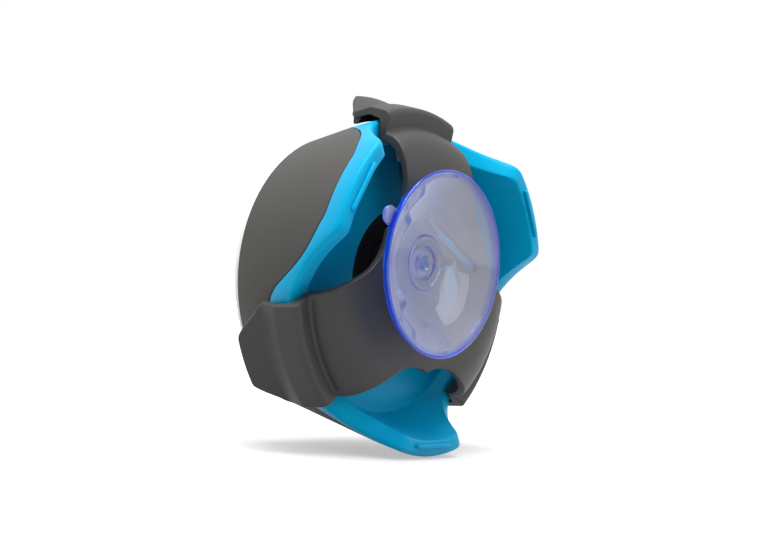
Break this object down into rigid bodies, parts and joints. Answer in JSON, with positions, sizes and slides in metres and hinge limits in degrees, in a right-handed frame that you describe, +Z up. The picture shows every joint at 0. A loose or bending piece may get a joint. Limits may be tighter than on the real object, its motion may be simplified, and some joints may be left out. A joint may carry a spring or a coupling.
{
  "type": "reaction training light pod in suction cradle",
  "caption": "Round reflex-training light pod with a lobed tray base, clipped in a three-arm cradle that hangs on a clear suction cup.",
  "frame": {"origin": "centre of the suction cup's sealing rim, on the wall plane", "axes": "+Y into the wall that the cup sticks to, +Z up along the top arm, dome faces -Y"},
  "size_m": [0.0971, 0.0552, 0.1004],
  "materials": {
    "cup_blue": "clear tinted PVC",
    "cradle_black": "fine moulded texture",
    "shell_grey": "fine moulded texture",
    "tray_blue": "satin",
    "dome_white": "translucent satin",
    "seal_rubber": "matt",
    "pad_black": "satin",
    "gold_contact": "plated",
    "board_green": "solder mask",
    "screw_steel": "zinc plated",
    "led_white": "gloss",
    "shield_tin": "tinned",
    "chip_black": "matt",
    "battery_foil": "foil pouch",
    "foam_grey": "foam",
    "tab_nickel": "nickel strip",
    "reflector_white": "satin"
  },
  "bodies": {
    "wall_cup": {"cup_skirt": "cup_blue"},
    "cup_stem": {"cup_neck": "cup_blue"},
    "stem_head": {"cup_head": "cup_blue"},
    "cradle": {"cradle_hub": "cradle_black"},
    "arm_top": {"cradle_arm_top": "cradle_black"},
    "arm_left": {"cradle_arm_left": "cradle_black"},
    "arm_right": {"cradle_arm_right": "cradle_black"},
    "pod": {"dome_diffuser": "dome_white", "dome_seal": "seal_rubber", "upper_shell": "shell_grey", "tray_base": "tray_blue", "contact_pad": "pad_black", "charge_pins": "gold_contact", "circuit_board": "board_green", "board_screws": "screw_steel", "case_screws": "screw_steel", "led_ring": "led_white", "radio_module": "shield_tin", "tap_sensor": "chip_black", "battery_cell": "battery_foil", "battery_foam": "foam_grey", "battery_tabs": "tab_nickel", "reflector_ring": "reflector_white"}
  },
  "joints": [
    {"name": "cup_press", "type": "slide", "parent": "wall_cup", "child": "cup_stem", "axis": [0, 1, 0], "range_m": [0, 0.004], "stiffness_N_per_m": 1500, "deforming": ["cup_skirt"]},
    {"name": "cradle_spin", "type": "hinge", "parent": "cup_stem", "child": "stem_head", "pos_m": [0, -0.0138, 0], "axis": [0, 1, 0], "continuous": true},
    {"name": "keyhole_slide", "type": "slide", "parent": "stem_head", "child": "cradle", "axis": [0.9063, 0, 0.4226], "range_m": [0, 0.0171]},
    {"name": "pod_release", "type": "slide", "parent": "cradle", "child": "pod", "axis": [0, -1, 0], "range_m": [0, 0.013]},
    {"name": "arm_top_flex", "type": "hinge", "parent": "cradle", "child": "arm_top", "pos_m": [-0.01006, -0.011, 0.02281], "axis": [-1, 0, 0], "range_deg": [0, 12], "stiffness_Nm_per_rad": 0.6},
    {"name": "arm_left_flex", "type": "hinge", "parent": "cradle", "child": "arm_left", "pos_m": [0.01376, -0.011, -0.01844], "axis": [0.5, 0, 0.866], "range_deg": [0, 12], "stiffness_Nm_per_rad": 0.6},
    {"name": "arm_right_flex", "type": "hinge", "parent": "cradle", "child": "arm_right", "pos_m": [-0.03388, -0.011, -0.01844], "axis": [0.5, 0, -0.866], "range_deg": [0, 12], "stiffness_Nm_per_rad": 0.6}
  ],
  "couplings": [
    {"joint": "arm_top_flex", "follows": "pod_release", "rad_per_m": 16},
    {"joint": "arm_left_flex", "follows": "pod_release", "rad_per_m": 16},
    {"joint": "arm_right_flex", "follows": "pod_release", "rad_per_m": 16}
  ]
}
